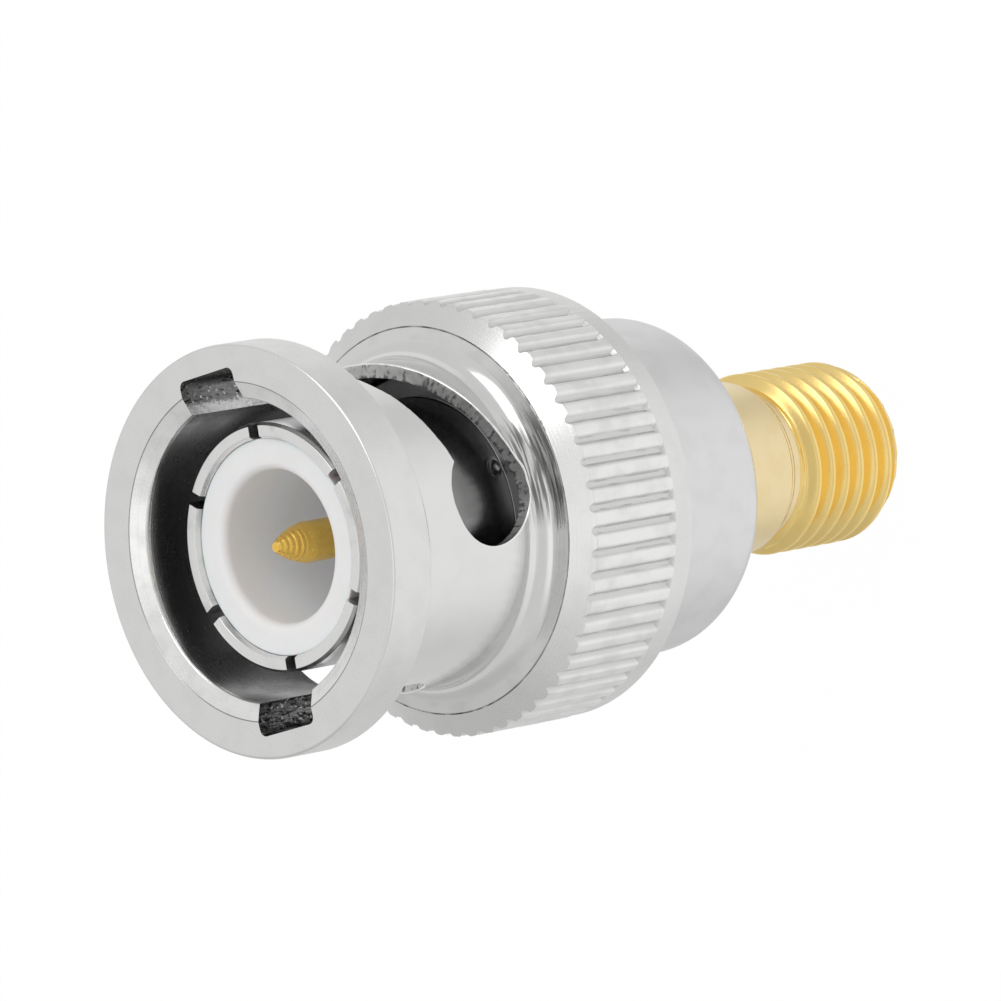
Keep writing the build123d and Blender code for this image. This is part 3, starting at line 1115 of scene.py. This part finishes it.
    def _rim_ring(self) -> Iterator[Band]:
        """Yield the rim outside the keyways' floors, and the floors."""
        number = self.cut.numbers
        first = self.cut.zones[0]
        corner = self._corner()
        edge = np.arcsin(self.cut.keyway / corner)
        inside = edge * (number - first / 2) / (first / 2)
        outside = edge + (pi - 2 * edge) * (number - first) / (self.cut.columns - first)
        turn = np.where(number <= first, inside, outside)
        inner = np.where(number <= first, self.cut.floor_radius(inside), corner)
        inner[0] = inner[first] = corner
        band = self.rim - self.rim_band
        outline = rounded(
            (band, self.rim_rear), (self.rim, self.rim_rear, 0.05), (self.rim, 0, 0.1), (band, 0)
        )
        shares = np.array([0.0, 0.3, 0.7])
        rear_rows = between(inner, band, shares)
        front_rows = between(band, inner, 1 - shares[::-1])
        side_radius, side = outline[:, :1], outline[:, 1:]
        slant = self._back(side_radius) - self.rim_rear
        side = side + np.where(side > self.rim_rear / 2, slant, 0)
        radius = np.concatenate([rear_rows, side_radius + 0 * number, front_rows])
        depth = np.concatenate([self._back(rear_rows), side + 0 * number, 0 * front_rows])
        yield radius, turn, depth, Finish.SATIN
        floor = slice(0, first + 1)
        rows = np.linspace(0, 1, 9)[:, None] * self._back(inner[floor])
        yield inner[floor], turn[floor], rows, Finish.KEYWAY

    def _walls(self) -> Iterator[Band]:
        """Yield the cut's front and rear walls, from the rounded outer edge to the bore."""
        first, _, third = self.cut.zones
        number = self.cut.numbers
        for front, low in ((True, first), (False, 0)):
            rows = [self._edge(front, share) for share in np.linspace(0, 1, 5)]
            outer = rows[-1][0]
            for step, share in enumerate((0.2, 0.45, 0.7, 1.0)):
                radius = outer + (self.bore - outer) * share
                turn = self.cut.turns(radius, 0.0, number)
                depth = self.cut.wall(front)(turn, radius, 0.0, number)
                if share < 1:
                    depth = depth + self._rough(20 + 3 * step + front) * 0.6
                rows.append((radius, turn, depth))
            grid = [np.stack([row[k] for row in rows])[:, low : third + 1] for k in range(3)]
            # The rounded outer edge takes the painted highlight.
            yield *(part[:5] for part in grid), Finish.BURR
            yield *(part[4:] for part in grid), Finish.MILLED


# ---------------------------------------------------------------- slotted tubes


@dataclass(frozen=True)
class SawnTube:
    """A tube whose end is sawn into fingers.

    The tip's outline runs from the slots' floor on the outside round the end to their floor on the
    inside. The rest's outline runs from the same start the other way round to the same end.
    """

    tip: Array
    rest: Array
    slots: int
    width: float
    first: float
    slot_columns: int
    finger_columns: int

    def _half(self, radius: Array) -> Array:
        """Half of a slot's angle: its sine is half the width over the radius."""
        return np.arcsin(np.clip(self.width / 2 / np.maximum(radius, 1e-6), 0, 0.6))

    def grids(self) -> Iterator[Grid]:
        """Yield the fingers, the rest of the tube and the slots' floors."""
        sector = TURN / self.slots
        finger = np.linspace(0, 1, self.finger_columns + 1)[None]
        slot = np.linspace(-1, 1, self.slot_columns + 1)[None]
        turns = []
        half, tip_half = self._half(self.rest[:, :1]), self._half(self.tip[:, :1])
        for k in range(self.slots):
            start = self.first + k * sector
            yield swept(self.tip, start + tip_half + (sector - 2 * tip_half) * finger)
            floor = np.linspace(self.tip[0, 0], self.tip[-1, 0], 4)[:, None]
            yield Grid(floor, start + self._half(floor) * slot, self.tip[0, 1])
            wide = start + half + (sector - 2 * half) * finger
            turns += [(start + half * slot)[:, :-1], wide[:, :-1]]
        turns.append(turns[0][:, :1] + TURN)
        yield swept(self.rest, np.concatenate(turns, 1))


@dataclass(frozen=True)
class PlugBody:
    """Outer contact with six sprung fingers, the guide land, flange and hub in one turned piece."""

    radius: float = 4.05
    bore: float = 3.52
    tip: float = 1.15
    slot_end: float = 5.75
    slot_width: float = 0.45
    first: float = radians(84)
    land: float = 8.2
    guide: float = 4.845
    shoulder: float = 9.0
    flange: tuple[float, float] = (5.85, 9.9)
    hub: tuple[float, float] = (4.4, 14.5)
    line_bore: float = 1.6
    seat: float = 8.6
    stake: tuple[float, float, float] = (7.83, radians(14), 0.26)

    def build(self) -> bpy.types.Object:
        """Build the fingers and body, press in the stake mark and tie the piece to the frame."""
        tip = rounded(
            (self.radius, self.slot_end),
            (self.radius, self.tip + 0.11, 0.03),
            (self.radius - 0.10, self.tip, 0.03),
            (self.bore + 0.08, self.tip, 0.03),
            (self.bore, self.tip + 0.15, 0.03),
            (self.bore, self.slot_end),
        )
        close = np.arange(7.4, self.land - 0.04, 0.045)
        stake_rows = [(self.radius, float(depth)) for depth in close]
        rest = rounded(
            (self.radius, self.slot_end),
            *stake_rows,
            (self.radius, self.land, 0.04),
            (self.guide, self.land, 0.08),
            (self.guide, self.shoulder),
            (self.flange[0], self.shoulder, 0.04),
            (self.flange[0], self.flange[1], 0.04),
            (self.hub[0], self.flange[1]),
            (self.hub[0], self.hub[1]),
            (self.line_bore, self.hub[1]),
            (self.line_bore, self.seat),
            (self.bore, self.seat),
            (self.bore, self.slot_end),
        )
        shell = Shell("finger_contact_body", "plug_body", "nickel_bright", (Finish.FINGER,))
        tube = SawnTube(tip, rest, 6, self.slot_width, self.first, 4, 56)
        return shell.build(self._staked(grid) for grid in tube.grids())

    def _staked(self, grid: Grid) -> Grid:
        """Press the stake mark: a round hollow, (1 - (q / r) squared) deep, with a raised lip."""
        depth, turn, size = self.stake
        aside = self.radius * np.sin(grid.turn - turn)
        away = np.hypot(aside, grid.depth - depth) + 9.0 * (np.cos(grid.turn - turn) < 0)
        outside = np.abs(grid.radius - self.radius) < 0.001
        hollow = -0.15 * np.clip(1 - (away / size) ** 2, 0, 1)
        lip = 0.025 * np.exp(-(((away - size - 0.04) / 0.045) ** 2))
        return Grid(grid.radius + outside * (hollow + lip), grid.turn, grid.depth)


@dataclass(frozen=True)
class CentreContact:
    """Gold contact: pointed pin at the plug, slotted socket at the jack."""

    pin: float = 0.675
    tip: float = 1.3
    tip_flat: float = 0.16
    full: float = 2.55
    cup_floor: float = 6.6
    seat: tuple[float, float] = (0.85, 8.6)
    collar: tuple[float, float] = (1.1, 9.3)
    socket: float = 0.635
    socket_bore: float = 0.465
    socket_depth: float = 3.0
    slot: tuple[float, float] = (0.18, 1.9)
    end: float = 26.25

    def _nose(self) -> Array:
        """Lay out the pin's nose.

        Its radius grows with the share s of the length, partly in step with s and partly as the
        bow (1 - (1 - s) squared) to the 0.9, and shallow turning rings cross it.

        Returns:
            Radius and depth of each point.
        """
        share = np.linspace(0, 1, 57)
        bow = (1 - (1 - share) ** 2) ** 0.9
        radius = self.tip_flat + (self.pin - self.tip_flat) * (0.55 * share + 0.45 * bow)
        rings = 0.011 * np.sin(share * TURN * 7.0) * np.sin(share * pi)
        return np.stack([radius + rings, self.tip + (self.full - self.tip) * share], -1)

    def build(self) -> bpy.types.Object:
        """Build the pin, its collar and the sawn socket as one piece and tie it to the frame."""
        floor = self.end - self.slot[1]
        tip = rounded(
            (self.socket, floor),
            (self.socket, self.end, 0.03),
            (self.socket_bore, self.end, 0.05),
            (self.socket_bore, floor),
        )
        head = rounded(
            (self.socket, floor),
            (self.socket, self.collar[1]),
            (self.collar[0], self.collar[1]),
            (self.collar[0], self.seat[1]),
            (self.seat[0], self.seat[1]),
            (self.seat[0], self.cup_floor),
            (self.pin, self.cup_floor),
        )
        nose = np.concatenate([self._nose()[::-1], [[0.0, self.tip]]])
        shaft = np.concatenate([head, [[self.pin, self.full + 0.1]], nose])
        tube = SawnTube(tip, shaft, 4, self.slot[0], 0.0, 4, 14)
        shell = Shell("pin_and_socket", "centre_contact", "gold_contact", (Finish.PIN,))
        return shell.build([*tube.grids(), self._well(floor)])

    def _well(self, floor: float) -> Grid:
        """Lay the socket's blind bore, with the same columns as the fingers in front of it."""
        bottom = self.end - self.socket_depth
        outline = np.array(
            [[0.0, bottom - 0.279], [self.socket_bore, bottom], [self.socket_bore, floor]]
        )
        half = np.arcsin(self.slot[0] / 2 / self.socket_bore)
        slot, finger = np.linspace(-half, half, 5)[:-1], np.linspace(half, pi / 2 - half, 15)[:-1]
        quarters = [np.concatenate([slot, finger]) + k * pi / 2 for k in range(4)]
        return swept(outline, np.concatenate(quarters + [[TURN - half]])[None])


# ---------------------------------------------------------------- turned pieces


@dataclass(frozen=True)
class PlugInsulator:
    """White cup round the pin."""

    front: float = 1.35
    outer: float = 3.52
    cup: float = 2.5
    floor: float = 6.6
    seat: float = 8.6
    pin_seat: float = 0.85

    def build(self) -> bpy.types.Object:
        """Build the cup and tie it to the frame."""
        outline = rounded(
            (self.pin_seat, self.seat),
            (self.pin_seat, self.floor),
            (self.cup, self.floor, 0.15),
            (self.cup, self.front, 0.30),
            (self.outer, self.front, 0.05),
            (self.outer, self.seat),
            (self.pin_seat, self.seat),
            steps=6,
        )
        shell = Shell(
            "white_cup_insulator", "plug_insulator", "white_insulator", (Finish.WHITE,)
        )
        return shell.build([revolved(outline, 160)])


@dataclass(frozen=True)
class JackInsulator:
    """White bead round the socket."""

    inner: float = 0.635
    outer: float = 2.05
    front: float = 14.5
    face: float = 26.3

    def build(self) -> bpy.types.Object:
        """Build the bead and tie it to the frame."""
        outline = rounded(
            (self.inner, self.front),
            (self.inner, self.face, 0.04),
            (self.outer, self.face, 0.04),
            (self.outer, self.front),
            (self.inner, self.front),
        )
        shell = Shell("white_bead", "jack_insulator", "white_insulator", (Finish.WHITE,))
        return shell.build([revolved(outline, 120)])


@dataclass(frozen=True)
class RearBody:
    """Smooth shell that joins the plug to the jack."""

    radius: float = 5.65
    front: float = 12.7
    end: float = 18.65
    corner: float = 1.15
    neck: float = 2.95
    hub: float = 4.4
    flange: tuple[float, float, float] = (3.9, 14.5, 16.6)

    def build(self) -> bpy.types.Object:
        """Build the shell and tie it to the frame."""
        outline = rounded(
            (self.hub, self.front),
            (self.radius, self.front, 0.1),
            (self.radius, self.end, self.corner),
            (self.neck, self.end),
            (self.neck, self.flange[2]),
            (self.flange[0], self.flange[2]),
            (self.flange[0], self.flange[1]),
            (self.hub, self.flange[1]),
            (self.hub, self.front),
            steps=12,
        )
        shell = Shell("smooth_rear_body", "rear_body", "nickel_smooth", (Finish.SMOOTH,))
        return shell.build([revolved(outline, 288)])


@dataclass(frozen=True)
class JackBody:
    """Gold jack with its helical thread."""

    inner: float = 2.05
    flange: tuple[float, float, float] = (3.9, 14.5, 16.6)
    neck: float = 2.95
    neck_rear: float = 22.9
    relief: float = 0.26
    undercut: tuple[float, float] = (2.72, 23.3)
    major: float = 3.11
    minor: float = 2.68
    pitch: float = 0.7056
    root: float = 24.886
    taper: tuple[float, float] = (27.4, 0.5)
    end: float = 28.2
    bore: float = 2.3
    face: float = 26.3
    columns: int = 144
    rows: int = 20

    def build(self) -> bpy.types.Object:
        """Build the jack and tie it to the frame."""
        shell = Shell(
            "gold_threaded_jack", "jack_body", "gold_plate", (Finish.GOLD, Finish.THREAD),
            crease=radians(50),
        )
        inside = rounded(
            (self.major - self.taper[1], self.end),
            (self.bore, self.end, 0.05),
            (self.bore, self.face),
            (self.inner, self.face),
            (self.inner, self.flange[1]),
            (self.flange[0], self.flange[1]),
            (self.flange[0], self.flange[2]),
            (self.neck, self.flange[2]),
            (self.neck, self.neck_rear - self.relief, 0.2),
            (self.neck - self.relief, self.neck_rear, 0.1),
            (self.undercut[0], self.neck_rear + 0.06, 0.04),
            (self.undercut[0], self.undercut[1]),
        )
        return shell.build([revolved(inside, self.columns), self._thread()])

    def _envelope(self, depth: Array) -> Array:
        """Largest radius at a depth: a ramp out of the undercut, the crests, then a rounded end."""
        ramp = self.undercut[0] + (depth - self.undercut[1]) * 1.3
        share = np.clip((depth - self.taper[0]) / (self.end - self.taper[0]), 0, 1)
        round_off = self.major - self.taper[1] * share**1.5
        return np.minimum(np.minimum(np.maximum(ramp, self.undercut[0]), self.major), round_off)

    def _wave(self, along: Array) -> Array:
        """Thread form: a triangle wave of the place along the pitch, cut off at crest and root."""
        phase = np.abs((along / self.pitch) % 1.0 - 0.5) * 2
        share = np.clip((phase - 0.16) / 0.70, 0, 1)
        return self.major - (self.major - self.minor) * (0.75 * share + 0.25 * ease(share))

    def _thread(self) -> Grid:
        """Wind the thread.

        Each row follows the helix: its depth is a start less pitch times turn over a full turn,
        held between the two ends. Radius is the smaller of envelope and thread form, and its roots
        run out into the undercut.

        Returns:
            The grid.
        """
        turn = np.linspace(0, TURN, self.columns + 1)[None]
        first, last = self.undercut[1], self.end
        count = int(np.ceil((last - first) / self.pitch) + 1) * self.rows
        along = (first + np.arange(count + 1) * self.pitch / self.rows)[:, None]
        depth = np.clip(along - self.pitch * turn / TURN, first, last)
        radius = np.minimum(self._envelope(depth), self._wave(along - self.root))
        run_out = self.undercut[0] - (self.undercut[0] - self.minor) * ease((depth - first) / 0.4)
        radius = np.maximum(radius, run_out)
        radius = np.where(depth <= first, self.undercut[0], radius)
        radius = np.where(depth >= last, self.major - self.taper[1], radius)
        return Grid(radius, turn, depth, Finish.THREAD)


@dataclass(frozen=True)
class WaveWasher:
    """Wavy spring washer, built wavy; the real one flattens as the sleeve is pushed forward."""

    name: str
    node: str
    front: float
    swing: float
    inner: float = 4.6
    outer: float = 5.85
    thickness: float = 0.22
    waves: int = 3
    flange: float = 9.9
    keep: float = 0.44

    def build(self) -> bpy.types.Object:
        """Build the washer and tie it to the frame.

        A flat ring's outline is turned once round the axis, and each point moves along the axis
        by |swing| - swing cos(waves x turn).
        """
        back = self.front + self.thickness
        outline = rounded(
            (self.inner, self.front),
            (self.inner, back, 0.03),
            (self.outer, back, 0.03),
            (self.outer, self.front, 0.03),
            (self.inner, self.front),
        )
        ring = revolved(outline, 180)
        ring.depth = ring.depth + abs(self.swing) - self.swing * np.cos(self.waves * ring.turn)
        shell = Shell(self.name, self.node, "spring_steel", (Finish.SPRING,))
        piece = shell.build([ring])
        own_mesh(piece)
        return piece


# ---------------------------------------------------------------- frame nodes kept as they are


KEPT_NODES = ("retaining_ring", "thrust_washer")


def dress_kept_nodes() -> None:
    """Give the hidden spring parts, which stay as the frame has them, their steel."""
    for name in KEPT_NODES:
        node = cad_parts[name]
        for slot in node.material_slots:
            slot.material = material(Finish.SPRING)
        if not node.material_slots:
            node.data.materials.append(material(Finish.SPRING))
        log.info("%s: dressed", name)


# ---------------------------------------------------------------- studio


@dataclass(frozen=True)
class View:
    """The photograph's camera, as fitted to the circles and the outline."""

    tilt: float = radians(45.2)
    lean: float = radians(-9.8)
    keyway: float = radians(5)
    distance: float = 275.0
    focus: float = 8607.5
    middle: float = 500.5
    width: int = 1001
    rim: tuple[float, float] = (246.3, 552.3)

    def axes(self) -> tuple[Array, Array]:
        """Work out the model's axes and the rim's place in the camera's frame.

        The camera's x runs right, y down and z forwards. The adapter's rearward axis leans back by
        the tilt and across by the lean.

        Returns:
            The three model axes as columns, and the place of the model's origin.
        """
        across = np.sin(self.tilt)
        rearward = np.array(
            [across * np.cos(self.lean), across * np.sin(self.lean), np.cos(self.tilt)]
        )
        up = np.array([np.sin(self.lean), -np.cos(self.lean), 0])
        near = np.cross(rearward, up)
        x_axis = np.cos(self.keyway) * near + np.sin(self.keyway) * up
        y_axis = -np.sin(self.keyway) * near + np.cos(self.keyway) * up
        spot = np.array([self.rim[0] - self.middle, self.rim[1] - self.middle, self.focus])
        origin = spot * self.distance / self.focus + TOP * rearward
        return np.stack([x_axis, y_axis, -rearward], -1), origin

    def frame(self) -> tuple[Array, Array]:
        """Give the camera's place in metres and its right, up and back directions as columns."""
        axes, origin = self.axes()
        place = -axes.T @ origin * MM
        return place, axes.T @ np.diag([1.0, -1.0, -1.0])

    def make(self) -> None:
        """Make the camera and set it as the scene's."""
        data = bpy.data.cameras.new("photo_view")
        data.sensor_width = 36.0
        data.lens = self.focus / self.width * data.sensor_width
        data.clip_start, data.clip_end = 0.01, 20.0
        place, turn = self.frame()
        bpy.context.scene.camera = placed("photo_view", data, turn, place)


@dataclass(frozen=True)
class Lamp:
    """A soft square lamp, placed by right, up and back shares as the photo's camera sees them."""

    name: str
    where: tuple[float, float, float]
    size: float
    power: float
    distance: float = 0.16

    def make(self, directions: Array) -> None:
        """Make the lamp, aimed at the adapter's middle."""
        data = bpy.data.lights.new(self.name, "AREA")
        data.shape, data.size, data.energy = "SQUARE", self.size, self.power
        back = unit(directions @ np.array(self.where))
        side = unit(np.cross([0.0, 0.0, 1.0], back))
        turn = np.stack([side, np.cross(back, side), back], -1)
        middle = np.array([0, 0, TOP * MM / 2])
        placed(self.name, data, turn, back * self.distance + middle)


@dataclass(frozen=True)
class Card:
    """A soft part of the tent: its direction in the photograph's frame, reach and added light."""

    where: tuple[float, float, float]
    inner: float
    outer: float
    light: float


@dataclass(frozen=True)
class Studio:
    """White tent, soft lamps and a pale floor."""

    lamps: tuple[Lamp, ...] = (Lamp("key_lamp", (-0.5, 0.6, 0.7), 0.10, 0.045),)
    cards: tuple[Card, ...] = (
        Card((1.0, 0.1, 0.1), 0.97, 0.45, 0.20),
        Card((-0.5, -0.25, 0.83), 0.99, 0.88, 0.30),
        Card((-0.62, -0.78, -0.15), 0.97, 0.75, -0.16),
        Card((-0.98, -0.18, -0.03), 0.98, 0.80, 0.07),
    )
    tent: float = 0.71
    soft: float = 1.22
    floor_cards: tuple[Card, ...] = (
        Card((0.966, -0.259, 0.0), 0.97, 0.15, 0.23),
        Card((-0.515, 0.857, 0.0), 0.97, 0.65, 0.14),
    )
    floor: Colour = (0.90, 0.90, 0.90)
    floor_size: float = 0.6
    floor_drop: float = 0.01
    floor_glow: float = 0.985

    def make(self, directions: Array) -> None:
        """Make the tent, the lamps and the floor.

        Args:
            directions: the photograph's right, up and back directions as columns.
        """
        bpy.context.scene.view_settings.view_transform = "Standard"
        self._tent(directions)
        for lamp in self.lamps:
            lamp.make(directions)
        self._floor()

    def _light(
        self, graph: Graph, way: bpy.types.NodeSocket, level: float, cards: Iterable[Card]
    ) -> Value:
        """Add the cards' light to an even level.

        A card's light rises smoothly from its outer to its inner cosine between the way and its
        direction.

        Args:
            graph: the node tree.
            way: the direction that is looked at.
            level: light where no card is.
            cards: the cards, their directions already in the tree's frame.

        Returns:
            The light.
        """
        light = level
        for card in cards:
            inputs = {0: way, 1: card.where}
            near = graph.value("VectorMath", {"operation": "DOT_PRODUCT"}, inputs, "Value")
            light = light + near.step(card.outer, card.inner) * card.light
        return light

    def _tent(self, directions: Array) -> None:
        """Light the world: white to the camera, and white with soft grey cards to the metal."""
        world = bpy.data.worlds.new("white_tent")
        bpy.context.scene.world = world
        graph = Graph(world)
        camera, glossy, through = graph.rays("Camera", "Glossy", "Transmission")
        seen = camera.most(glossy).most(through)
        aims = [unit(directions @ np.array(card.where)).tolist() for card in self.cards]
        cards = [replace(card, where=tuple(aim)) for card, aim in zip(self.cards, aims)]
        way = graph.node("TexCoord").outputs["Generated"]
        light = self._light(graph, way, self.tent, cards)
        glow = camera.most(light * (seen + (1.0 - seen) * self.soft))
        shader = graph.node("Background", None, {"Color": glow, "Strength": 1.0})
        graph.node("OutputWorld", None, {"Surface": shader.outputs[0]})

    def _floor(self) -> None:
        """Lay the pale floor under the jack's end; the camera sees it white with a faint shadow.

        What metal mirrors of it is brighter towards the floor's own cards.
        """
        size = self.floor_size
        mesh = bpy.data.meshes.new("floor")
        corners = [(-size, -size, 0), (size, -size, 0), (size, size, 0), (-size, size, 0)]
        mesh.from_pydata(corners, [], [(0, 1, 2, 3)])
        floor = placed("floor", mesh)
        shade = bpy.data.materials.new("pale_floor")
        graph = Graph(shade)
        camera, glossy, through = graph.rays("Camera", "Glossy", "Transmission")
        seen = camera.most(through)
        matte = graph.node("BsdfDiffuse", None, {"Color": self.floor})
        own = graph.node("TexCoord").outputs["Object"]
        way = graph.node("VectorMath", {"operation": "NORMALIZE"}, {0: own}).outputs[0]
        light = self._light(graph, way, self.tent - self.floor_drop, self.floor_cards)
        glow = seen.most(glossy * light)
        white = graph.node("Emission", None, {"Color": glow, "Strength": 1.0})
        share = seen * self.floor_glow + glossy
        mixed = graph.node("MixShader", None, {0: share, 1: matte.outputs[0], 2: white.outputs[0]})
        graph.node("OutputMaterial", None, {"Surface": mixed.outputs[0]})
        mesh.materials.append(shade)


# ---------------------------------------------------------------- making


def main() -> None:
    """Build every piece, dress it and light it."""
    logging.basicConfig(level=logging.INFO, format="%(message)s")
    view = View()
    view.make()
    Studio().make(view.frame()[1])
    makers = (
        CouplingSleeve(),
        PlugBody(),
        PlugInsulator(),
        CentreContact(),
        RearBody(),
        JackBody(),
        JackInsulator(),
        WaveWasher("spring_washer_front", "wave_washer_front", 9.92, 0.20),
        WaveWasher("spring_washer_rear", "wave_washer_rear", 10.56, -0.20),
    )
    for maker in makers:
        piece = maker.build()
        log.info("%s: made", piece.name)
    dress_kept_nodes()


if __name__ == "__main__":
    main()
